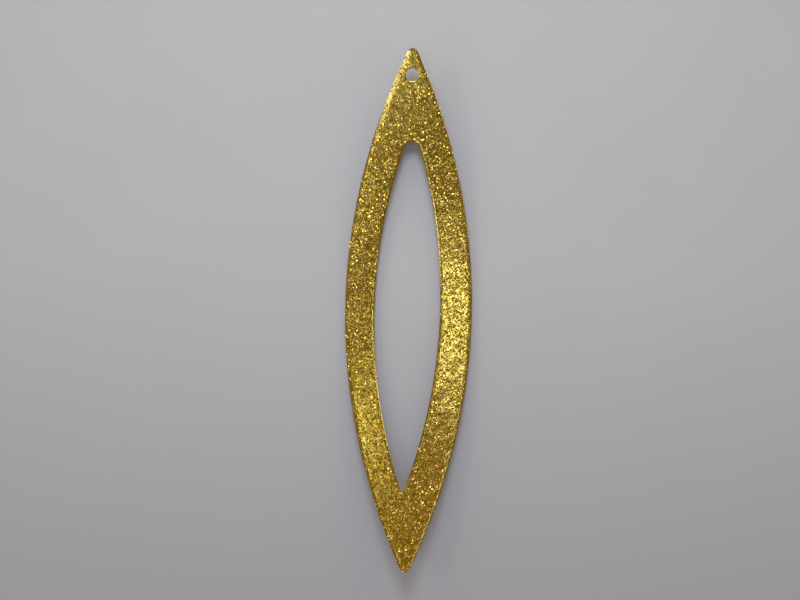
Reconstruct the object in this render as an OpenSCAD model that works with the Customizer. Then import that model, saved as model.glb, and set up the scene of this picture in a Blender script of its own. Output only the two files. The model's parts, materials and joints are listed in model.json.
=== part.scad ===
// Marquise openwork pendant: one stamped sheet of brass, bowed along its length.
// Millimetres. +Y runs to the hanging hole, +X to the right and +Z out of the front face.
// The sheet lies on its bowed back, with the origin below its middle.

/* [Outline] */
// Length from tip to tip, measured straight across the bow
pendant_l = 60; // [44:0.5:90]
// Width across the middle
pendant_w = 15; // [12:0.5:24]
// Radius that rounds both tips
tip_r = 0.65; // [0.3:0.05:1]

/* [Opening] */
// Width of the rails beside the middle of the opening, if it were punched true
rail_w = 3.6; // [2:0.1:5]
// Metal between the lower tip and the pointed end of the opening
lower_land = 8.8; // [6:0.1:14]
// Radius that rounds the pointed lower end of the opening
point_r = 0.2; // [0.1:0.05:1]
// Radius that rounds the blunt upper end of the opening
crown_r = 0.95; // [0.5:0.05:2]
// Turn of the punched opening off the long axis, in degrees, anticlockwise from the front
opening_turn = -0.8; // [-2:0.1:2]
// Shift of the punched opening off centre, to the right from the front
opening_shift = -0.15; // [-0.5:0.05:0.5]

/* [Hanging hole] */
// Diameter of the hole, for a jump ring
hole_d = 1.5; // [1:0.1:2]
// Distance from the upper tip to the centre of the hole
hole_setback = 2.8; // [2.2:0.1:5]

/* [Sheet] */
// Thickness of the sheet
sheet_t = 0.8; // [0.5:0.1:1.5]
// Radius to which the back of the sheet is bowed
bow_r = 115; // [70:1:400]

/* [Hidden] */

// Sides of a full circle when the arcs are drawn
$fn = 180;

// Colour of the plating
gold = [0.72, 0.56, 0.16];

// The opening is a smaller marquise about the same middle
opening_l = pendant_l - 2 * lower_land;
opening_w = pendant_w - 2 * rail_w;

// Height of the front face at the tips, above the lowest point of the back
tip_top = bow_r - sqrt(pow(bow_r - sheet_t, 2) - pow(pendant_l / 2, 2));

// Blanks and cutters run past the metal by this margin
margin = 1;

// Round ends stand proud of the side arcs by this hair, so that they meet at a clear edge
end_lap = 0.002;

// The hole is drilled square to the sheet, so it leans with the bow
hole_y = pendant_l / 2 - hole_setback;
hole_lean = asin(hole_y / (bow_r - sheet_t / 2));

// Radius of the side arcs of a marquise of length l and width w with both ends of radius r
function side_arc_r(l, w, r) = (pow(w / 2, 2) + pow(l / 2, 2) - l * r) / (w - 2 * r);

// Distance from the middle of a marquise to the centre of its end of radius r
function end_y(arc_r, w, r) = sqrt(pow(arc_r - r, 2) - pow(arc_r - w / 2, 2));

// Distance from the middle of a marquise to where its side arcs run into that end
function tangent_y(arc_r, w, r) = end_y(arc_r, w, r) * arc_r / (arc_r - r);

// Marquise along Y: two side arcs, and at each tip a round end that both arcs run into.
// A blunter upper end shortens it from l, its length with both ends of radius lower_r.
module marquise(l, w, lower_r, upper_r) {
    arc_r = side_arc_r(l, w, lower_r);
    lower_y = tangent_y(arc_r, w, lower_r);
    upper_y = tangent_y(arc_r, w, upper_r);
    intersection() {
        intersection_for (side = [-1, 1]) {
            translate([side * (arc_r - w / 2), 0]) circle(r = arc_r);
        }
        translate([-w / 2, -lower_y]) square([w, lower_y + upper_y]);
    }
    translate([0, -end_y(arc_r, w, lower_r)]) circle(r = lower_r + end_lap);
    translate([0, end_y(arc_r, w, upper_r)]) circle(r = upper_r + end_lap);
}

// Upright prism of a flat outline, through the full height of the bowed sheet
module punch() {
    translate([0, 0, -margin]) linear_extrude(tip_top + 2 * margin) children();
}

// Cylinder across the sheet, about the axis of the bow
module bow_cylinder(r) {
    translate([0, 0, bow_r]) rotate([0, -90, 0]) cylinder(r = r, h = pendant_w + 2 * margin, center = true);
}

// Sheet bowed to a full ring, of which the outline keeps the lowest stretch
module bowed_sheet() {
    difference() {
        bow_cylinder(bow_r);
        bow_cylinder(bow_r - sheet_t);
    }
}

// Drill for the hanging hole, along a radius of the bow
module hole_drill() {
    translate([0, 0, bow_r]) rotate([hole_lean, 0, 0]) {
        translate([0, 0, -bow_r - margin]) cylinder(d = hole_d, h = sheet_t + 2 * margin);
    }
}

// The whole pendant: the bowed sheet, trimmed to the outline, with its opening and its hanging hole
module pendant_frame() {
    color(gold) difference() {
        intersection() {
            bowed_sheet();
            punch() marquise(pendant_l, pendant_w, tip_r, tip_r);
        }
        punch() translate([opening_shift, 0]) rotate(opening_turn) {
            marquise(opening_l, opening_w, point_r, crown_r);
        }
        hole_drill();
    }
}

pendant_frame();
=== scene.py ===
"""Dresses the marquise openwork pendant: a bowed sheet of gold-plated brass with a pitted front.

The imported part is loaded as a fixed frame. Its one sheet is replaced by a mesh that has the pits, the
rolled edges and the sheared walls of the stamping, and a floor, lamps and a camera are set around it.
Lengths are in metres.
"""

import json
import logging
import math
from abc import ABC, abstractmethod
from collections.abc import Mapping
from dataclasses import dataclass
from enum import Enum, IntEnum

import bmesh
import bpy
import numpy as np
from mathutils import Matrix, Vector


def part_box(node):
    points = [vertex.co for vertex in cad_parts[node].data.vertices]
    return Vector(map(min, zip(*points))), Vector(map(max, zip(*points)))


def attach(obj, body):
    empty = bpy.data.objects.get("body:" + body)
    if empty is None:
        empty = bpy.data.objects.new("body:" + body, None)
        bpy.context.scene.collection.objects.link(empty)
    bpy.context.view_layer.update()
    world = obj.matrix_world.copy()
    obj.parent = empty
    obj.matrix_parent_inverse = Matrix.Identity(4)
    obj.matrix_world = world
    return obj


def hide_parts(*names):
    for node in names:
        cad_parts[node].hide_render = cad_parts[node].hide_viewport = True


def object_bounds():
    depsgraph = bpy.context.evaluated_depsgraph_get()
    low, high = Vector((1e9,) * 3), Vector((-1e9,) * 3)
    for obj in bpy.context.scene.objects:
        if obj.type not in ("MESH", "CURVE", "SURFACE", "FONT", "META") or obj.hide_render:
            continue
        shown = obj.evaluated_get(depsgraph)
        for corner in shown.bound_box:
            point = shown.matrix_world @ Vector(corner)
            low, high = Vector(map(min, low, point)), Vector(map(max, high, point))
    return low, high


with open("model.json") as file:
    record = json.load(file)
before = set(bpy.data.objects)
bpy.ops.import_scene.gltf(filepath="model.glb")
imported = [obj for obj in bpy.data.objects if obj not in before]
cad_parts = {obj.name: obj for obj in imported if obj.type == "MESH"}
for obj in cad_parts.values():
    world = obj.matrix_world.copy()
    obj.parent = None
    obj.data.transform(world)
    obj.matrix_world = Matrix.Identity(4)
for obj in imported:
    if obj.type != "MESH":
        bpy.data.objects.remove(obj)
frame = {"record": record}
CAD_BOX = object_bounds()

LOG = logging.getLogger("pendant")
MM = 0.001
CEILING = 1.5
Colour = tuple[float, float, float]
Place = tuple[float, float, float]
Span = tuple[float, float]
MIDDLE: Place = (0.0, 0.0, 0.0)
DAYLIGHT: Colour = (0.9, 1.0, 1.25)
BLUE_PANEL: Colour = (0.78, 1.05, 2.2)
PALE_PANEL: Colour = (0.82, 1.02, 1.5)
AMBER_PANEL: Colour = (1.25, 0.95, 0.6)


class Side(IntEnum):
    """Half of the sheet, by the sign of X."""

    LEFT = -1
    RIGHT = 1


class Face(IntEnum):
    """Part of the sheet that a face belongs to, numbered as its material slot."""

    FRONT = 0
    WALL = 1
    BACK = 2


class Mark(Enum):
    """Point attributes of the mesh that the front's finish reads."""

    PIT = "pit"
    SHOULDER = "shoulder"


@dataclass(frozen=True)
class Marquise:
    """Pointed oval along Y: two side arcs that run into a round end at each tip.

    Its length is what it measures with both ends of radius lower_r; a blunter upper end shortens it.
    """

    length: float
    width: float
    lower_r: float
    upper_r: float

    @property
    def arc_r(self) -> float:
        """Radius of the side arcs: they span the width, and touch the lower end's circle."""
        square = (self.width / 2) ** 2 + (self.length / 2) ** 2 - self.length * self.lower_r
        return square / (self.width - 2 * self.lower_r)

    @property
    def arc_x(self) -> float:
        """Distance of a side arc's centre from the long axis."""
        return self.arc_r - self.width / 2

    def end_y(self, end_r: float) -> float:
        """Distance from the middle to the centre of an end of radius end_r."""
        return math.sqrt((self.arc_r - end_r) ** 2 - self.arc_x**2)

    def meeting_y(self, end_r: float) -> float:
        """Distance from the middle to where the side arcs run into an end of radius end_r."""
        return self.end_y(end_r) * self.arc_r / (self.arc_r - end_r)

    @property
    def low(self) -> float:
        """Lowest y of the outline."""
        return -self.end_y(self.lower_r) - self.lower_r

    @property
    def high(self) -> float:
        """Highest y of the outline."""
        return self.end_y(self.upper_r) + self.upper_r

    def half_width(self, y: np.ndarray) -> np.ndarray:
        """Half the width at each y.

        It is the side arc sqrt(arc_r^2 - y^2) - arc_x in the middle, the round end's half chord past
        the place where they meet, and nothing beyond the tips.

        Args:
            y: places along the long axis.

        Returns:
            The half widths, in the shape of y.
        """
        lower = np.sqrt(np.maximum(self.lower_r**2 - (y + self.end_y(self.lower_r)) ** 2, 0))
        upper = np.sqrt(np.maximum(self.upper_r**2 - (y - self.end_y(self.upper_r)) ** 2, 0))
        side = np.sqrt(np.maximum(self.arc_r**2 - y**2, 0)) - self.arc_x
        at_end = [y < -self.meeting_y(self.lower_r), y > self.meeting_y(self.upper_r)]
        return np.select(at_end, [lower, upper], side)

    def outside(self, x: np.ndarray, y: np.ndarray) -> np.ndarray:
        """Distance of each point outside the outline, negative inside it.

        A point is measured from the centre of the side arc across from it, less arc_r, or from the
        centre of an end, less that end's radius, where its foot on the arc lies past the meeting place.

        Args:
            x: places across the long axis.
            y: places along it.

        Returns:
            The signed distances.
        """
        reach = np.hypot(np.abs(x) + self.arc_x, y)
        foot = self.arc_r * y / reach
        lower = np.hypot(x, y + self.end_y(self.lower_r)) - self.lower_r
        upper = np.hypot(x, y - self.end_y(self.upper_r)) - self.upper_r
        at_end = [foot < -self.meeting_y(self.lower_r), foot > self.meeting_y(self.upper_r)]
        return np.select(at_end, [lower, upper], reach - self.arc_r)


@dataclass(frozen=True)
class Opening:
    """The punched opening: a marquise that sits a little off the long axis and leans across it.

    Attributes:
        shape: outline about the opening's own axis.
        shift: how far its middle lies to the right of the long axis.
        lean: how far its axis runs to the right for each step up.
    """

    shape: Marquise
    shift: float
    lean: float

    def axis(self, y: np.ndarray) -> np.ndarray:
        """X of the opening's axis at each y."""
        return self.shift + self.lean * y

    def outside(self, x: np.ndarray, y: np.ndarray) -> np.ndarray:
        """Distance of each point outside the opening, negative inside it."""
        return self.shape.outside(x - self.axis(y), y)


@dataclass(frozen=True)
class HangingHole:
    """The round hole at the upper tip, square to the sheet, with places measured along the front."""

    middle: float
    radius: float

    def half_chord(self, s: np.ndarray) -> np.ndarray:
        """Half the hole's width at each place along the front, and nothing beyond it."""
        return np.sqrt(np.maximum(self.radius**2 - (s - self.middle) ** 2, 0))

    def outside(self, x: np.ndarray, s: np.ndarray) -> np.ndarray:
        """Distance of each point of the front outside the hole, negative inside it."""
        return np.hypot(x, s - self.middle) - self.radius


@dataclass(frozen=True)
class Bow:
    """The sheet's bend: a circle about an axis across it, above its middle. back_r is the back's."""

    back_r: float
    thickness: float

    @property
    def front_r(self) -> float:
        """Radius of the front face."""
        return self.back_r - self.thickness

    def along(self, y: np.ndarray) -> np.ndarray:
        """Arc length on the front face from the middle to each y."""
        return self.front_r * np.arcsin(y / self.front_r)

    def straight(self, s: np.ndarray) -> np.ndarray:
        """Y at each arc length on the front face."""
        return self.front_r * np.sin(s / self.front_r)

    def points(self, x: np.ndarray, y: np.ndarray, rise: np.ndarray) -> np.ndarray:
        """Points of the sheet at given heights above its back, measured square to it.

        A point lies back_r - rise from the axis of the bend, straight above its place in the outline.

        Args:
            x: places across the sheet.
            y: places along it, measured straight across the bow.
            rise: heights above the back.

        Returns:
            The points, with X, Y and Z in the last place.
        """
        return np.stack([x, y, self.back_r - np.sqrt((self.back_r - rise) ** 2 - y**2)], axis=-1)


@dataclass(frozen=True)
class PitLayer:
    """Pits of one size, at most one to each cell of a square grid on the front.

    Attributes:
        cell: width of a cell.
        small_r: radius of the smallest pit.
        large_r: radius of the largest pit.
        steepness: depth of a pit, as a share of its radius.
        clearance: metal that a pit of full depth leaves between its middle and an edge.
        share: share of the cells that hold a pit.
        seed: seed of the layer's random numbers.
        softness: power of the bowl, 1 for a crisp rim and more for one that fades out.
        lip: height of the rim that is thrown up, as a share of the depth.
        lip_width: how far the lip reaches to each side of the rim, as a share of the radius.
    """

    cell: float
    small_r: float
    large_r: float
    steepness: float
    clearance: float
    share: float
    seed: int
    softness: float = 1.0
    lip: float = 0.05
    lip_width: float = 0.28

    @property
    def deepest(self) -> float:
        """Depth of the layer's largest pit."""
        return self.steepness * self.large_r

    def depth(self, sheet: "PendantSheet", x: np.ndarray, s: np.ndarray) -> np.ndarray:
        """How deep this layer's pits lie at each point of the front.

        A pit of radius r and depth d is the bowl d * (1 - (distance / r)^2)^softness, less a lip that
        falls off as a bell to both sides of the rim. Of the pits that reach a point the deepest counts.

        Args:
            sheet: the sheet, for the distance of a pit's middle from the edges.
            x: places across the sheet.
            s: places along its front.

        Returns:
            The depths, negative on the lips.
        """
        draw = np.random.default_rng(self.seed)
        # Two spare cells past each tip keep the neighbours of every point on the grid
        half_count = math.ceil(sheet.outline.high / self.cell) + 2
        count = 2 * half_count
        first = -self.cell * half_count
        cells = first + self.cell * np.arange(count)
        middle_x = cells[:, None] + self.cell * draw.random((count, count))
        middle_s = cells[None, :] + self.cell * draw.random((count, count))
        radius = draw.uniform(self.small_r, self.large_r, (count, count))
        metal = np.minimum.reduce(sheet.edge_distances(middle_x, middle_s))
        full = self.steepness * radius * np.clip(metal / self.clearance, 0, 1)
        full *= draw.random((count, count)) < self.share

        column = np.floor((x - first) / self.cell).astype(int)
        row = np.floor((s - first) / self.cell).astype(int)
        deepest = np.zeros_like(x)
        lips = np.zeros_like(x)
        for near_column in (column - 1, column, column + 1):
            for near_row in (row - 1, row, row + 1):
                at = (np.clip(near_column, 0, count - 1), np.clip(near_row, 0, count - 1))
                away = np.hypot(x - middle_x[at], s - middle_s[at]) / radius[at]
                deepest = np.maximum(deepest, full[at] * np.clip(1 - away**2, 0, 1) ** self.softness)
                lips = np.maximum(lips, full[at] * np.exp(-(((away - 1) / self.lip_width) ** 2)))
        return deepest - self.lip * lips


@dataclass(frozen=True)
class Roll:
    """An edge drawn down by the punch: width of the rolled shoulder, and how far it drops."""

    width: float
    drop: float

    def share(self, metal: np.ndarray) -> np.ndarray:
        """How far into the shoulder a point lies, 0 on the flat and 1 at the edge, by its distance."""
        return np.clip(1 - metal / self.width, 0, 1)

    def fall(self, metal: np.ndarray) -> np.ndarray:
        """How far the front drops at each distance from the edge: drop times share squared."""
        return self.drop * self.share(metal) ** 2


@dataclass(frozen=True)
class ShearedWall:
    """The punched wall of the sheet, from the front edge to the back edge.

    Attributes:
        burnish: share of the thickness that the punch leaves straight and bright, under the front.
        taper: how far the torn part below leans in.
        bevel: width of the tumbled corner at the back.
        bevel_share: share of the thickness that this corner takes.
        narrow: half width of the sheet or the gap below which the lean fades out.
    """

    burnish: float = 0.42
    taper: float = 0.03 * MM
    bevel: float = 0.06 * MM
    bevel_share: float = 0.08
    narrow: float = 0.5 * MM

    def depths(self) -> np.ndarray:
        """Depths of the wall's rows, as shares of the thickness."""
        return np.array([0.0, self.burnish / 2, self.burnish, 1 - self.bevel_share, 1.0])

    def insets(self, half_width: np.ndarray) -> np.ndarray:
        """How far each row of the wall is set in, less where the sheet or the gap is narrow."""
        inset = np.array([0.0, 0.0, 0.0, self.taper, self.taper + self.bevel])
        return inset * np.clip(half_width / self.narrow, 0, 1)

    @property
    def strips(self) -> int:
        """Number of faces down the wall."""
        return len(self.depths()) - 1


class Value:
    """A number in a shader tree. Arithmetic on it adds Math nodes."""

    def __init__(self, tree: "ShaderTree", socket: bpy.types.NodeSocket) -> None:
        """Wraps an output socket of a tree."""
        self.tree = tree
        self.socket = socket

    def math(self, operation: str, first: "Value | float", second: "Value | float") -> "Value":
        """Adds a Math node and returns what it gives."""
        node = self.tree.node("ShaderNodeMath", {"operation": operation}, {0: first, 1: second})
        return Value(self.tree, node.outputs[0])

    def __add__(self, other: "Value | float") -> "Value":
        """Sum."""
        return self.math("ADD", self, other)

    __radd__ = __add__

    def __sub__(self, other: "Value | float") -> "Value":
        """Difference."""
        return self.math("SUBTRACT", self, other)

    def __rsub__(self, other: "Value | float") -> "Value":
        """Difference from a number."""
        return self.math("SUBTRACT", other, self)

    def __mul__(self, other: "Value | float") -> "Value":
        """Product."""
        return self.math("MULTIPLY", self, other)

    __rmul__ = __mul__

    def __pow__(self, other: "Value | float") -> "Value":
        """Power."""
        return self.math("POWER", self, other)

    def between(self, low: float, high: float) -> "Value":
        """Share of the way from low to high, held between 0 and 1."""
        sockets = {"Value": self, "From Min": low, "From Max": high}
        return Value(self.tree, self.tree.node("ShaderNodeMapRange", {}, sockets).outputs[0])


class ShaderTree:
    """The nodes of a material or a world, emptied first."""

    def __init__(self, owner: bpy.types.Material | bpy.types.World) -> None:
        """Takes over the node tree of its owner."""
        owner.use_nodes = True
        self.nodes = owner.node_tree.nodes
        self.links = owner.node_tree.links
        self.nodes.clear()

    def node(
        self, kind: str, settings: Mapping[str, object], sockets: Mapping[str | int, object]
    ) -> bpy.types.Node:
        """Adds a node.

        Args:
            kind: type of the node.
            settings: its properties, set before its sockets.
            sockets: values or links of its inputs, by name or number.

        Returns:
            The node.
        """
        made = self.nodes.new(kind)
        for name, value in settings.items():
            setattr(made, name, value)
        for name, value in sockets.items():
            if isinstance(value, Value):
                value = value.socket
            if isinstance(value, bpy.types.NodeSocket):
                self.links.new(value, made.inputs[name])
            else:
                made.inputs[name].default_value = value
        return made

    def coordinates(self, kind: str) -> bpy.types.NodeSocket:
        """Coordinates of one kind, such as Object."""
        return self.node("ShaderNodeTexCoord", {}, {}).outputs[kind]

    def along_y(self) -> Value:
        """Y of each point, from Object coordinates."""
        parts = self.node("ShaderNodeSeparateXYZ", {}, {0: self.coordinates("Object")})
        return Value(self, parts.outputs["Y"])

    def noise(self, grain: float, stretch: Place = (1.0, 1.0, 1.0), detail: float = 2.0) -> Value:
        """Noise about 0.5 on Object coordinates.

        Args:
            grain: size of its grains.
            stretch: how many times longer the grains are along X, Y and Z.
            detail: number of finer noises laid over the first.

        Returns:
            The noise.
        """
        scale = tuple(1 / (grain * part) for part in stretch)
        where = self.node("ShaderNodeMapping", {}, {"Vector": self.coordinates("Object"), "Scale": scale})
        sockets = {"Vector": where.outputs[0], "Scale": 1.0, "Detail": detail}
        return Value(self, self.node("ShaderNodeTexNoise", {}, sockets).outputs[0])

    def mark(self, mark: Mark) -> Value:
        """A point attribute of the mesh."""
        settings = {"attribute_name": mark.value}
        return Value(self, self.node("ShaderNodeAttribute", settings, {}).outputs["Fac"])

    def blend(self, share: Value, start: object, end: object) -> bpy.types.NodeSocket:
        """Colour that goes from start to end with a share.

        Args:
            share: 0 for start, 1 for end.
            start: a colour or a colour socket.
            end: a colour or a colour socket.

        Returns:
            The colour socket.
        """
        sockets = {0: share, 6: rgba(start), 7: rgba(end)}
        return self.node("ShaderNodeMix", {"data_type": "RGBA"}, sockets).outputs[2]

    def bump(self, height: Value, distance: float) -> bpy.types.NodeSocket:
        """Normal of a surface raised by height times a distance."""
        sockets = {"Height": height, "Distance": distance, "Strength": 1.0}
        return self.node("ShaderNodeBump", {}, sockets).outputs[0]

    def vector(self, operation: str, first: object, second: object) -> bpy.types.NodeSocket:
        """Adds a Vector Math node and returns the vector that it gives."""
        sockets = {0: first, 1: second}
        return self.node("ShaderNodeVectorMath", {"operation": operation}, sockets).outputs[0]

    def facets(self, cell: float, tilt: Value, power: float) -> tuple[Value, bpy.types.NodeSocket]:
        """Fine flat facets, one to each cell of a Voronoi pattern on Object X and Y.

        A facet leans off the surface by a random vector, times tilt and a power of a random number, so
        that most of them lie nearly flat.

        Args:
            cell: width of a cell.
            tilt: how far the steepest facets lean.
            power: the power, which is higher where fewer facets are steep.

        Returns:
            The random number of each facet, from 0 for a flat one to 1, and its normal.
        """
        sockets = {"Vector": self.coordinates("Object"), "Scale": 1 / cell}
        draw = self.node("ShaderNodeTexVoronoi", {"voronoi_dimensions": "2D"}, sockets).outputs["Color"]
        steepness = Value(self, self.node("ShaderNodeSeparateColor", {}, {0: draw}).outputs[2])
        centred = self.vector("SUBTRACT", draw, (0.5, 0.5, 0.5))
        lean = self.vector("MULTIPLY", centred, 2 * tilt * steepness**power)
        flat = self.node("ShaderNodeNewGeometry", {}, {}).outputs["Normal"]
        return steepness, self.vector("NORMALIZE", self.vector("ADD", flat, lean), (0.0, 0.0, 0.0))

    def principled(self, sockets: Mapping[str | int, object]) -> None:
        """Adds the shader of a material, with values or links of its inputs, and its output."""
        shader = self.node("ShaderNodeBsdfPrincipled", {}, sockets)
        self.node("ShaderNodeOutputMaterial", {}, {"Surface": shader.outputs[0]})


def rgba(colour: object) -> object:
    """A colour with an alpha of 1, or a socket as it is."""
    return (*colour, 1.0) if isinstance(colour, tuple) else colour


@dataclass(frozen=True)
class Finish(ABC):
    """A plated surface, which gives one metallic shader its colour, roughness and normal."""

    name: str

    @abstractmethod
    def channels(self, tree: ShaderTree) -> Mapping[str | int, object]:
        """Base colour, roughness and normal, by the names of the shader's inputs."""

    def material(self) -> bpy.types.Material:
        """Makes the material."""
        material = bpy.data.materials.new(self.name)
        tree = ShaderTree(material)
        tree.principled({"Metallic": 1.0, **self.channels(tree)})
        return material


@dataclass(frozen=True)
class PittedFront(Finish):
    """Polished lands between duller pits, with painted shade in the pits, on specks and on facets of
    middling steepness, worn pale along the edges.

    Attributes:
        plate: colour of the lands.
        clouded: colour of their darker clouds.
        painted_pit_shade: colour of the painted shade in the pits, on the specks and on facets of middling
            steepness.
        worn: colour of the shoulders.
        worn_share: share of this colour at an edge.
        flat_roughness: roughness of the lands.
        pit_roughness: what a pit adds to it.
        cloud_roughness: how much the clouds change it.
        facet: width of a facet.
        facet_tilt: lean of the steepest facets.
        facet_power: power by which steep facets are rare.
        facet_shade: share of the painted shade on facets of middling steepness.
        shoulder_calm: share of the facets' lean and of the shades that is gone at an edge.
        speck: size of the specks of painted shade.
        speck_shade: share of the painted shade on a speck.
        cloud: size of the clouds.
        pit_span: pit mark at which the painted shade in the pits starts and is full.
        shoulder_span: shoulder mark at which wear starts and is full.
        cloud_span: noise at which a cloud starts and is full.
        speck_span: noise at which a speck starts and is full.
    """

    plate: Colour = (0.61, 0.38, 0.05)
    clouded: Colour = (0.55, 0.34, 0.042)
    painted_pit_shade: Colour = (0.36, 0.19, 0.009)
    worn: Colour = (0.6, 0.4, 0.075)
    worn_share: float = 0.6
    flat_roughness: float = 0.14
    pit_roughness: float = 0.24
    cloud_roughness: float = 0.1
    facet: float = 0.12 * MM
    facet_tilt: float = 0.45
    facet_power: float = 4.0
    facet_shade: float = 0.2
    shoulder_calm: float = 0.85
    speck: float = 0.52 * MM
    speck_shade: float = 0.75
    cloud: float = 2.5 * MM
    pit_span: Span = (0.0, 0.8)
    shoulder_span: Span = (0.2, 1.0)
    cloud_span: Span = (0.35, 0.65)
    speck_span: Span = (0.48, 0.6)

    def channels(self, tree: ShaderTree) -> Mapping[str | int, object]:
        """Base colour, roughness and normal of the front.

        Facets of middling steepness get painted shade, by the square of 4 s (1 - s) of their random number
        s.

        Args:
            tree: nodes of the material.

        Returns:
            The sockets and values, by the names of the shader's inputs.
        """
        pit = tree.mark(Mark.PIT).between(*self.pit_span)
        shoulder = tree.mark(Mark.SHOULDER).between(*self.shoulder_span)
        cloud = tree.noise(self.cloud)
        calm = 1.0 - self.shoulder_calm * shoulder
        steepness, normal = tree.facets(self.facet, self.facet_tilt * calm, self.facet_power)
        land = tree.blend(cloud.between(*self.cloud_span), self.plate, self.clouded)
        edged = tree.blend(self.worn_share * shoulder, land, self.worn)
        # Painted shade: facets of middling steepness and noise specks take the dark colour of the pits
        middling = (4.0 * steepness * (1.0 - steepness)) ** 2.0
        grained = tree.blend(self.facet_shade * calm * middling, edged, self.painted_pit_shade)
        speck = tree.noise(self.speck).between(*self.speck_span)
        specked = tree.blend(self.speck_shade * calm * speck, grained, self.painted_pit_shade)
        roughness = self.flat_roughness + self.pit_roughness * pit + self.cloud_roughness * (cloud - 0.5)
        # Painted shade in the pits: the colour darkens with each pit's depth mark
        colour = tree.blend(pit, specked, self.painted_pit_shade)
        return {"Base Color": colour, "Roughness": roughness, "Normal": normal}


@dataclass(frozen=True)
class ShearedEdge(Finish):
    """Plated wall of the stamping, with fine score marks through the thickness.

    Attributes:
        plate: colour of the bright marks.
        dull: colour between them.
        roughness: roughness of the wall.
        score_roughness: how much the marks change it.
        score: width of a mark.
        score_stretch: how many times longer the marks are along X, Y and Z.
        score_height: height of a mark.
        score_span: noise at which a mark starts and is full.
    """

    plate: Colour = (0.56, 0.36, 0.06)
    dull: Colour = (0.40, 0.24, 0.036)
    roughness: float = 0.3
    score_roughness: float = 0.25
    score: float = 0.05 * MM
    score_stretch: Place = (1.0, 1.0, 8.0)
    score_height: float = 0.006 * MM
    score_span: Span = (0.3, 0.7)

    def channels(self, tree: ShaderTree) -> Mapping[str | int, object]:
        """Base colour, roughness and normal of the walls."""
        score = tree.noise(self.score, self.score_stretch)
        return {
            "Base Color": tree.blend(score.between(*self.score_span), self.dull, self.plate),
            "Roughness": self.roughness + self.score_roughness * (score - 0.5),
            "Normal": tree.bump(score, self.score_height),
        }


@dataclass(frozen=True)
class TumbledBack(Finish):
    """Plain satin back: faint rolling lines of the sheet along its length, clouded by tumbling.

    Attributes:
        plate: colour of the back.
        clouded: colour of its darker clouds and lines.
        roughness: roughness of the back.
        cloud_roughness: how much the clouds change it.
        cloud: size of the clouds.
        line: width of a rolling line.
        line_stretch: how many times longer the lines are along X, Y and Z.
        line_height: height of a line.
        tone_span: mean of the two noises at which the pale colour starts and is full.
    """

    plate: Colour = (0.575, 0.372, 0.064)
    clouded: Colour = (0.50, 0.318, 0.05)
    roughness: float = 0.3
    cloud_roughness: float = 0.22
    cloud: float = 3.0 * MM
    line: float = 0.12 * MM
    line_stretch: Place = (1.0, 30.0, 1.0)
    line_height: float = 0.002 * MM
    tone_span: Span = (0.35, 0.65)

    def channels(self, tree: ShaderTree) -> Mapping[str | int, object]:
        """Base colour, roughness and normal of the back."""
        cloud = tree.noise(self.cloud)
        line = tree.noise(self.line, self.line_stretch)
        tone = (0.5 * (cloud + line)).between(*self.tone_span)
        return {
            "Base Color": tree.blend(tone, self.clouded, self.plate),
            "Roughness": self.roughness + self.cloud_roughness * (cloud - 0.5),
            "Normal": tree.bump(line, self.line_height),
        }


@dataclass(frozen=True)
class PunchSizes:
    """Sizes of the punched edges that the frame doesn't hold, as the part has them.

    Attributes:
        rail: width of the metal beside the opening.
        lower_land: length of the metal below the opening.
        tip_r: radius of the outer tips.
        point_r: radius of the opening's pointed lower end.
        crown_r: radius of its blunt upper end.
        shift: how far its middle lies to the right of the long axis.
        turn: angle by which its axis leans to the right.
    """

    rail: float = 3.6 * MM
    lower_land: float = 8.8 * MM
    tip_r: float = 0.65 * MM
    point_r: float = 0.2 * MM
    crown_r: float = 0.95 * MM
    shift: float = -0.15 * MM
    turn: float = math.radians(0.8)


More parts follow.
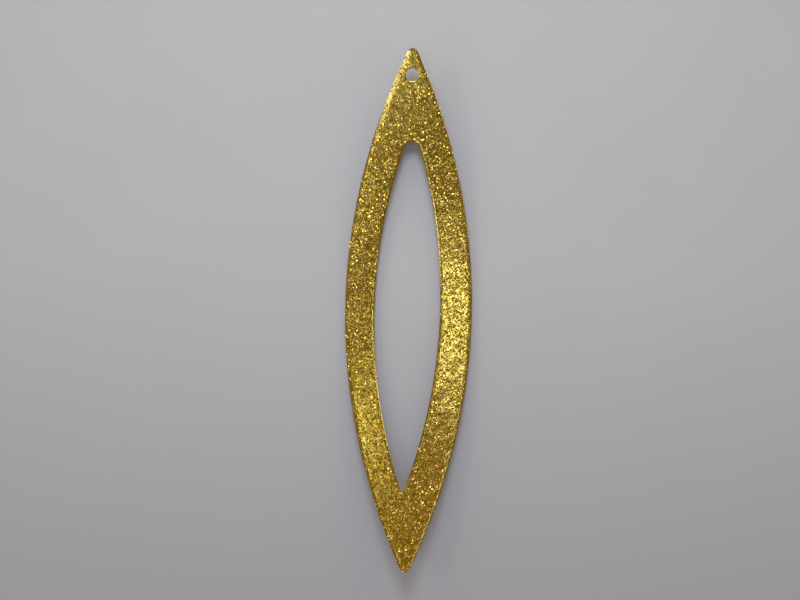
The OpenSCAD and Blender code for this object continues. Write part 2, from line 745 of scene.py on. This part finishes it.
@dataclass(frozen=True)
class PendantSheet:
    """The stamped sheet, which is the whole pendant.

    Attributes:
        outline: outer edge, seen straight from the front.
        opening: the punched opening.
        hole: the hanging hole.
        bow: bend and thickness of the sheet.
        camber_r: radius of the slight camber across the sheet, which leaves the outline where it is.
        outer_roll: rolled shoulder along the outline.
        opening_roll: rolled shoulder round the opening.
        hole_roll: rolled shoulder round the hole.
        point_fade: length over which the opening's shoulder fades out at its pointed end.
        tip_fade: length over which the outer shoulder fades out at the tips.
        tip_least: share of the outer shoulder's drop that is left at the tips.
        wear_start: y above which the upper left edge is worn.
        wear_length: length over which this wear grows to its full width.
        wear_spread: how much wider the outer shoulder is where it is fully worn.
        wear_inset: distance from the long axis at which this wear is full.
        worn_pits: share of a pit's depth that is worn away at an edge.
        wall: section of the punched walls.
        pits: pits of the front, which its finish darkens with painted shade.
        dents: shallow dents of the front between them.
        finishes: finish of each part of the sheet.
        row_step: distance between rows of the mesh.
        row_samples: places at which a stretch's edges are measured before it is cut into rows.
        front_columns: faces across each half of the front.
        back_columns: faces across each half of the back.
        weld: distance below which points are one.
        crease: angle between faces above which an edge is sharp.
    """

    outline: Marquise
    opening: Opening
    hole: HangingHole
    bow: Bow
    camber_r: float = 126 * MM
    outer_roll: Roll = Roll(0.45 * MM, 0.075 * MM)
    opening_roll: Roll = Roll(0.3 * MM, 0.06 * MM)
    hole_roll: Roll = Roll(0.12 * MM, 0.02 * MM)
    point_fade: float = 3 * MM
    tip_fade: float = 1.2 * MM
    tip_least: float = 0.2
    wear_start: float = 18 * MM
    wear_length: float = 5 * MM
    wear_spread: float = 0.9
    wear_inset: float = 0.8 * MM
    worn_pits: float = 0.8
    wall: ShearedWall = ShearedWall()
    pits: tuple[PitLayer, ...] = (
        PitLayer(0.22 * MM, 0.05 * MM, 0.09 * MM, 0.13, 0.08 * MM, share=0.3, seed=11),
        PitLayer(0.38 * MM, 0.07 * MM, 0.13 * MM, 0.12, 0.11 * MM, share=0.5, seed=12),
    )
    dents: PitLayer = PitLayer(
        1.3 * MM, 0.6 * MM, 1.1 * MM, 0.009, 0.8 * MM, share=0.9, seed=13, softness=2.0, lip=0.0
    )
    finishes: tuple[Finish, ...] = (
        PittedFront("pitted_front"),
        ShearedEdge("sheared_edge"),
        TumbledBack("tumbled_back"),
    )
    row_step: float = 0.082 * MM
    row_samples: int = 2000
    front_columns: int = 48
    back_columns: int = 4
    weld: float = 0.00002 * MM
    crease: float = math.radians(62)

    @classmethod
    def from_frame(cls, punch: PunchSizes = PunchSizes()) -> "PendantSheet":
        """The sheet at the frame's size.

        The bow's radius follows from the box, whose height is that of a tip's front corner.

        Args:
            punch: sizes of the punched edges.

        Returns:
            The sheet.
        """
        low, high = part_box("pendant_frame")
        mount = frame["record"]["mounts"][0]
        thickness = mount["dims"]["length_mm"] * MM
        length, width, height = high.y - low.y, high.x - low.x, high.z - low.z
        bow = Bow(((length / 2) ** 2 + height**2 - thickness**2) / (2 * (height - thickness)), thickness)
        hole_lean = math.asin(-mount["axis"][1])
        open_length, open_width = length - 2 * punch.lower_land, width - 2 * punch.rail
        opening = Marquise(open_length, open_width, punch.point_r, punch.crown_r)
        return cls(
            outline=Marquise(length, width, punch.tip_r, punch.tip_r),
            opening=Opening(opening, punch.shift, lean=math.tan(punch.turn)),
            hole=HangingHole(bow.front_r * hole_lean, mount["dims"]["r_mm"] * MM),
            bow=bow,
        )

    @property
    def hole_low(self) -> float:
        """Lowest y of the hole's edge on the front."""
        return float(self.bow.straight(self.hole.middle - self.hole.radius))

    @property
    def hole_high(self) -> float:
        """Highest y of the hole's edge on the front."""
        return float(self.bow.straight(self.hole.middle + self.hole.radius))

    def seam(self, y: np.ndarray) -> np.ndarray:
        """X of the line on which the two halves meet: the opening's axis, run out straight to the tips.

        Args:
            y: places along the sheet.

        Returns:
            The line's x at each y.
        """
        ends = np.array([self.opening.shape.low, self.opening.shape.high])
        places = [self.outline.low, *ends, self.hole_low, self.outline.high]
        return np.interp(y, places, [0, *self.opening.axis(ends), 0, 0])

    def gap(self, y: np.ndarray) -> np.ndarray:
        """Half width of the gap between the halves: the opening's, the hole's half chord, or nothing."""
        return np.maximum(self.opening.shape.half_width(y), self.hole.half_chord(self.bow.along(y)))

    def edge_distances(self, x: np.ndarray, s: np.ndarray) -> list[np.ndarray]:
        """Distance of each point of the front from its edges.

        Args:
            x: places across the sheet.
            s: places along its front.

        Returns:
            The distances to the outline, the opening and the hole, positive on metal.
        """
        y = self.bow.straight(s)
        return [-self.outline.outside(x, y), self.opening.outside(x, y), self.hole.outside(x, s)]

    def camber(self, x: np.ndarray, half_width: np.ndarray) -> np.ndarray:
        """Rise of the sheet between its outer edges: (half_width^2 - x^2) / (2 * camber_r)."""
        return (half_width**2 - x**2) / (2 * self.camber_r)

    def shoulders(self, x: np.ndarray, y: np.ndarray) -> tuple[np.ndarray, np.ndarray]:
        """How far into a rolled shoulder each point of the front lies, and how far it drops there.

        The outer shoulder is widened along the worn upper left edge, by dividing the distance from
        the edge, and fades out at the tips. The opening's shoulder fades out at its pointed end.

        Args:
            x: places across the sheet.
            y: places along it.

        Returns:
            The shares, 0 on the flat and 1 at an edge, and the drops.
        """
        outer, opening, hole = self.edge_distances(x, self.bow.along(y))
        along = np.clip((y - self.wear_start) / self.wear_length, 0, 1)
        outer = outer / (1 + self.wear_spread * along * np.clip(-x / self.wear_inset, 0, 1))
        rolls = [(self.outer_roll, outer), (self.opening_roll, opening), (self.hole_roll, hole)]
        shares = [roll.share(metal) for roll, metal in rolls]
        at_tip = np.clip((self.outline.high - np.abs(y)) / self.tip_fade, self.tip_least, 1)
        at_point = np.clip((y - self.opening.shape.low) / self.point_fade, 0, 1)
        fall = at_tip * self.outer_roll.fall(outer) + at_point * self.opening_roll.fall(opening)
        return np.maximum.reduce(shares), fall + self.hole_roll.fall(hole)

    def rows(self) -> np.ndarray:
        """Places of the mesh rows along Y.

        The ends of the sheet, the opening and the hole are rows. Between them the rows are evenly
        spaced by how far the edges travel along and across the sheet, so round ends get more of them.

        Returns:
            The places, from the lower tip to the upper.
        """
        shape = self.opening.shape
        keys = [self.outline.low, shape.low, shape.high, self.hole_low, self.hole_high, self.outline.high]
        found = [np.array(keys[:1])]
        for low, high in zip(keys, keys[1:]):
            fine = low + (high - low) * (1 - np.cos(np.linspace(0, math.pi, self.row_samples))) / 2
            inward = np.abs(np.diff(self.gap(fine)))
            outward = np.abs(np.diff(self.outline.half_width(fine)))
            travel = np.concatenate(([0], np.cumsum(np.hypot(np.diff(fine), inward + outward))))
            count = math.ceil(travel[-1] / self.row_step)
            found.append(np.interp(np.linspace(0, travel[-1], count + 1)[1:], travel, fine))
        return np.concatenate(found)

    def half(self, side: Side, y: np.ndarray) -> tuple[np.ndarray, dict[Mark, np.ndarray]]:
        """One half of the sheet, as a closed section carried along the rows.

        Each section runs over the front from the seam or the inner edge to the outer edge, down the
        outer wall, back under the sheet and up the inner wall. The front is lowered by its pits, its
        dents and its rolled shoulders. The inner wall is square to the sheet, the outer wall upright.

        Args:
            side: which half.
            y: places of the rows.

        Returns:
            Points (rows, section, 3), and each mark's values (rows, section).
        """
        rows = y[:, None]
        gap = self.gap(rows)
        half_width = self.outline.half_width(rows)
        inner = self.seam(rows) + side * gap
        outer = side * half_width

        x = inner + (outer - inner) * np.linspace(0, 1, self.front_columns + 1)
        front_y = np.broadcast_to(rows, x.shape)
        s = self.bow.along(front_y)
        shoulder, fall = self.shoulders(x, front_y)
        pit = (1 - self.worn_pits * shoulder) * sum(layer.depth(self, x, s) for layer in self.pits)
        relief = fall + pit + self.dents.depth(self, x, s)
        rise = self.bow.thickness + self.camber(x, half_width) - relief
        front = self.bow.points(x, front_y, rise)

        inner_set = side * self.wall.insets(gap)
        outer_set = -side * self.wall.insets(half_width)
        foot_in, foot_out = inner + inner_set[:, -1:], outer + outer_set[:, -1:]
        # The inner wall's foot lies square below its top, or straight below where the sheet is narrow
        square = np.clip(half_width / (2 * self.wall.narrow), 0, 1) ** 2
        foot_y = rows * (1 + square * self.bow.thickness / self.bow.front_r)
        under = np.linspace(0, 1, self.back_columns + 1)
        back_x = foot_in + (foot_out - foot_in) * under
        back = self.bow.points(back_x, foot_y + (rows - foot_y) * under, self.camber(back_x, half_width))

        outer_wall = self.wall_rows(front[:, -1:], back[:, -1:], outer_set)
        inner_wall = self.wall_rows(front[:, :1], back[:, :1], inner_set)
        section = np.concatenate([front, outer_wall, back[:, ::-1], inner_wall[:, ::-1]], axis=1)
        plain = np.zeros((len(y), section.shape[1] - x.shape[1]))
        deepest = max(layer.deepest for layer in self.pits)
        marks = {Mark.PIT: np.hstack([pit / deepest, plain]), Mark.SHOULDER: np.hstack([shoulder, plain])}
        return section, marks

    def wall_rows(self, top: np.ndarray, foot: np.ndarray, inset: np.ndarray) -> np.ndarray:
        """Points of a wall between its edges: the straight line from top to foot, with X set in.

        Args:
            top: points of the front edge, one to a row.
            foot: points of the back edge, already set in.
            inset: how far each row of the wall is moved along X.

        Returns:
            The points between the two edges.
        """
        line = top + (foot - top) * self.wall.depths()[None, 1:-1, None]
        line[..., 0] = top[..., 0] + inset[:, 1:-1]
        return line

    def half_faces(self, side: Side, y: np.ndarray) -> tuple[np.ndarray, np.ndarray]:
        """Faces between the rows of one half, and the part of the sheet that each belongs to.

        The inner wall is left out between rows where the halves touch, because it would lie inside.

        Args:
            side: which half, which sets the way its faces turn.
            y: places of the rows.

        Returns:
            Corners (faces, 4) and parts (faces).
        """
        kinds = [Face.FRONT, Face.WALL, Face.BACK, Face.WALL]
        parts = np.repeat(kinds, [self.front_columns, self.wall.strips, self.back_columns, self.wall.strips])
        grid = np.arange(len(y) * len(parts)).reshape(len(y), len(parts))
        following = np.roll(grid, -1, axis=1)
        corners = np.stack([grid[:-1], following[:-1], following[1:], grid[1:]], axis=-1)
        if side is Side.LEFT:
            corners = corners[..., ::-1]
        open_row = self.gap(y) > self.weld
        shown = np.ones(corners.shape[:2], dtype=bool)
        shown[:, -self.wall.strips :] = (open_row[:-1] | open_row[1:])[:, None]
        return corners[shown], np.broadcast_to(parts, shown.shape)[shown]

    def build(self, name: str) -> bpy.types.Object:
        """Makes the sheet: both halves, welded along the seam and at the tips.

        Args:
            name: name of the object and its mesh.

        Returns:
            The object, at the origin, with no material yet.
        """
        y = self.rows()
        sections, marks = zip(*(self.half(side, y) for side in Side))
        corners, parts = zip(*(self.half_faces(side, y) for side in Side))
        points = np.concatenate([section.reshape(-1, 3) for section in sections])
        first = np.array([0, sections[0].shape[0] * sections[0].shape[1]])
        used, faces = np.unique(np.concatenate([c + f for c, f in zip(corners, first)]), return_inverse=True)

        mesh = bpy.data.meshes.new(name)
        mesh.from_pydata(points[used].tolist(), [], faces.reshape(-1, 4).tolist())
        mesh.polygons.foreach_set("material_index", np.concatenate(parts).astype(np.int32))
        for mark in Mark:
            values = np.concatenate([half[mark].ravel() for half in marks])
            layer = mesh.attributes.new(mark.value, "FLOAT", "POINT")
            layer.data.foreach_set("value", values[used].astype(np.float32))
        weld_points(mesh, self.weld)
        mesh.shade_smooth()
        mesh.set_sharp_from_angle(angle=self.crease)
        sheet = bpy.data.objects.new(name, mesh)
        bpy.context.collection.objects.link(sheet)
        return sheet

    def dress(self, sheet: bpy.types.Object) -> None:
        """Gives the sheet its finishes, one to each part."""
        for part in Face:
            sheet.data.materials.append(self.finishes[part].material())


def weld_points(mesh: bpy.types.Mesh, distance: float) -> None:
    """Merges the points of a mesh that lie closer than a distance."""
    work = bmesh.new()
    work.from_mesh(mesh)
    bmesh.ops.remove_doubles(work, verts=work.verts, dist=distance)
    work.to_mesh(mesh)
    work.free()


@dataclass(frozen=True)
class Softbox:
    """A rectangular lamp with a soft face.

    Attributes:
        name: name of the lamp.
        place: middle of its face.
        aim: point that it faces.
        width: width of its face.
        height: height of its face.
        level: brightness of its face, where 1 is white.
        tint: colour of its light.
    """

    name: str
    place: Place
    aim: Place
    width: float
    height: float
    level: float
    tint: Colour = DAYLIGHT

    def build(self) -> None:
        """Adds the lamp to the scene."""
        lamp = bpy.data.lights.new(self.name, "AREA")
        lamp.shape = "RECTANGLE"
        lamp.size = self.width
        lamp.size_y = self.height
        lamp.energy = math.pi * self.level * self.width * self.height
        lamp.color = self.tint
        holder = bpy.data.objects.new(self.name, lamp)
        holder.location = self.place
        holder.rotation_euler = (Vector(self.place) - Vector(self.aim)).to_track_quat("Z", "Y").to_euler()
        bpy.context.collection.objects.link(holder)


def ceiling_panel(
    name: str, x: float, y: float, width: float, height: float, level: float,
    tint: Colour = BLUE_PANEL,
) -> Softbox:
    """A panel of the high ceiling, which faces straight down.

    Args:
        name: name of the lamp.
        x: place of its middle across the pendant.
        y: place of its middle along the pendant.
        width: its width.
        height: its height along the pendant.
        level: its brightness.
        tint: colour of its light.

    Returns:
        The lamp.
    """
    return Softbox(name, (x, y, CEILING), (x, y, 0.0), width, height, level, tint)


@dataclass(frozen=True)
class Glow:
    """A broad bright side of the room: its level, less by a power of the cosine away from it."""

    towards: Place
    level: float
    power: float = 6.0

    def light(self, tree: ShaderTree, direction: bpy.types.NodeSocket) -> Value:
        """Brightness of the room in each direction."""
        sockets = {0: direction, 1: Vector(self.towards).normalized()}
        cosine = tree.node("ShaderNodeVectorMath", {"operation": "DOT_PRODUCT"}, sockets).outputs["Value"]
        return self.level * Value(tree, cosine).between(0.0, 1.0) ** self.power


def corner_glows(rise: float, level: float, power: float) -> tuple[Glow, ...]:
    """Four like glows towards the corners of the room.

    Args:
        rise: height of their directions, where a corner is 1 away along X and along Y.
        level: their brightness.
        power: power of the cosine, higher for a narrower glow.

    Returns:
        The glows.
    """
    corners = [(1.0, 1.0), (-1.0, 1.0), (-1.0, -1.0), (1.0, -1.0)]
    return tuple(Glow((x, y, rise), level, power) for x, y in corners)


@dataclass(frozen=True)
class Studio:
    """Floor, light and camera.

    Attributes:
        paper: colour of the floor.
        paper_shade: colour of its faint clouds.
        paper_cloud: size of these clouds.
        cloud_span: noise at which a cloud starts and is full.
        paper_painted_shade: colour of the floor under painted shade past the lower tip, which darkens it
            towards its lower edge.
        painted_shade_start: y at which the painted shade starts.
        painted_shade_end: y at which it is full.
        paper_roughness: roughness of the floor.
        floor_half: half the width of the floor.
        floor_gap: how far the floor lies below the pendant.
        room_level: brightness of the room all round.
        room_tint: colour of the room.
        glows: brighter sides of the room.
        lamps: lamps and ceiling panels.
        camera_place: place of the camera, which looks straight down.
        camera_turn: turn of the camera about its line of sight.
        lens_mm: focal length.
        clip_start: distance at which the camera's view starts.
    """

    paper: Colour = (0.51, 0.498, 0.442)
    paper_shade: Colour = (0.5, 0.488, 0.433)
    paper_cloud: float = 12 * MM
    cloud_span: Span = (0.3, 0.7)
    paper_painted_shade: Colour = (0.415, 0.408, 0.372)
    painted_shade_start: float = 5 * MM
    painted_shade_end: float = -33 * MM
    paper_roughness: float = 0.9
    floor_half: float = 3.0
    floor_gap: float = 0.01 * MM
    room_level: float = 0.155
    room_tint: Colour = (1.14, 0.965, 0.74)
    glows: tuple[Glow, ...] = (
        Glow((0.0, 1.0, 0.3), 0.6),
        Glow((-1.0, 0.0, 0.3), 0.4),
        Glow((1.0, 0.0, 0.3), 0.27),
        Glow((0.0, -1.0, 0.3), 0.25),
        *corner_glows(rise=0.7, level=1.1, power=40.0),
    )
    lamps: tuple[Softbox, ...] = (
        Softbox("key_box", (-6 * MM, 75 * MM, 122 * MM), MIDDLE, 50 * MM, 50 * MM, level=9.8),
        Softbox("left_lamp", (-360 * MM, 96 * MM, 335 * MM), MIDDLE, 80 * MM, 80 * MM, level=9.0),
        Softbox("right_lamp", (263 * MM, 70 * MM, 420 * MM), MIDDLE, 50 * MM, 50 * MM, level=4.0),
        ceiling_panel("right_panel", 224 * MM, -4 * MM, 236 * MM, 92 * MM, level=6.3),
        ceiling_panel("left_panel", -197 * MM, 152 * MM, 210 * MM, 131 * MM, level=2.7, tint=PALE_PANEL),
        ceiling_panel("tip_panel", 0.0, -444 * MM, 368 * MM, 236 * MM, level=0.75),
        ceiling_panel("edge_panel", -211 * MM, -444 * MM, 315 * MM, 183 * MM, level=5.8),
        ceiling_panel("rim_panel", -540 * MM, -205 * MM, 620 * MM, 130 * MM, level=3.4),
        ceiling_panel("low_rim_panel", 600 * MM, 110 * MM, 300 * MM, 100 * MM, level=2.6),
        ceiling_panel("low_panel", 0.0, 320 * MM, 640 * MM, 290 * MM, level=0.18, tint=AMBER_PANEL),
    )
    camera_place: Place = (-1.02 * MM, 1.16 * MM, 120.51 * MM)
    camera_turn: float = math.radians(0.869)
    lens_mm: float = 45.51
    clip_start: float = 1 * MM

    def build_floor(self) -> None:
        """Lays a flat sheet of pale paper under the pendant, with painted shade that darkens it towards its
        lower edge.
        """
        half, low = self.floor_half, CAD_BOX[0].z - self.floor_gap
        corners = [(-half, -half, low), (half, -half, low), (half, half, low), (-half, half, low)]
        mesh = bpy.data.meshes.new("paper_floor")
        mesh.from_pydata(corners, [], [(0, 1, 2, 3)])
        floor = bpy.data.objects.new("paper_floor", mesh)
        bpy.context.collection.objects.link(floor)
        material = bpy.data.materials.new("paper")
        tree = ShaderTree(material)
        cloud = tree.noise(self.paper_cloud).between(*self.cloud_span)
        clouded = tree.blend(cloud, self.paper, self.paper_shade)
        # Painted shade: the floor is darker in colour towards its lower edge, past the lower tip
        lower = tree.along_y().between(self.painted_shade_start, self.painted_shade_end)
        colour = tree.blend(lower, clouded, self.paper_painted_shade)
        tree.principled({"Base Color": colour, "Roughness": self.paper_roughness})
        mesh.materials.append(material)

    def build_light(self) -> None:
        """Lights the room with an even level and its glows, and adds the lamps."""
        world = bpy.data.worlds.new("room")
        bpy.context.scene.world = world
        tree = ShaderTree(world)
        direction = tree.coordinates("Generated")
        light = sum((glow.light(tree, direction) for glow in self.glows), start=self.room_level)
        sky = tree.node("ShaderNodeBackground", {}, {"Color": rgba(self.room_tint), "Strength": light})
        tree.node("ShaderNodeOutputWorld", {}, {"Surface": sky.outputs[0]})
        for lamp in self.lamps:
            lamp.build()

    def build_camera(self) -> None:
        """Sets the camera straight above the pendant."""
        lens = bpy.data.cameras.new("camera")
        lens.lens = self.lens_mm
        lens.clip_start = self.clip_start
        holder = bpy.data.objects.new("camera", lens)
        holder.location = self.camera_place
        holder.rotation_euler = (0.0, 0.0, self.camera_turn)
        bpy.context.collection.objects.link(holder)
        bpy.context.scene.camera = holder


def main() -> None:
    """Builds the pendant, its finishes and its studio."""
    logging.basicConfig(level=logging.INFO, format="%(name)s: %(message)s")
    pendant = PendantSheet.from_frame()
    sheet = pendant.build("pendant_sheet")
    pendant.dress(sheet)
    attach(sheet, "root")
    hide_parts("pendant_frame")
    LOG.info("%s: %d faces", sheet.name, len(sheet.data.polygons))

    studio = Studio()
    studio.build_floor()
    studio.build_light()
    studio.build_camera()
    bpy.context.scene.view_settings.view_transform = "Standard"


if __name__ == "__main__":
    main()
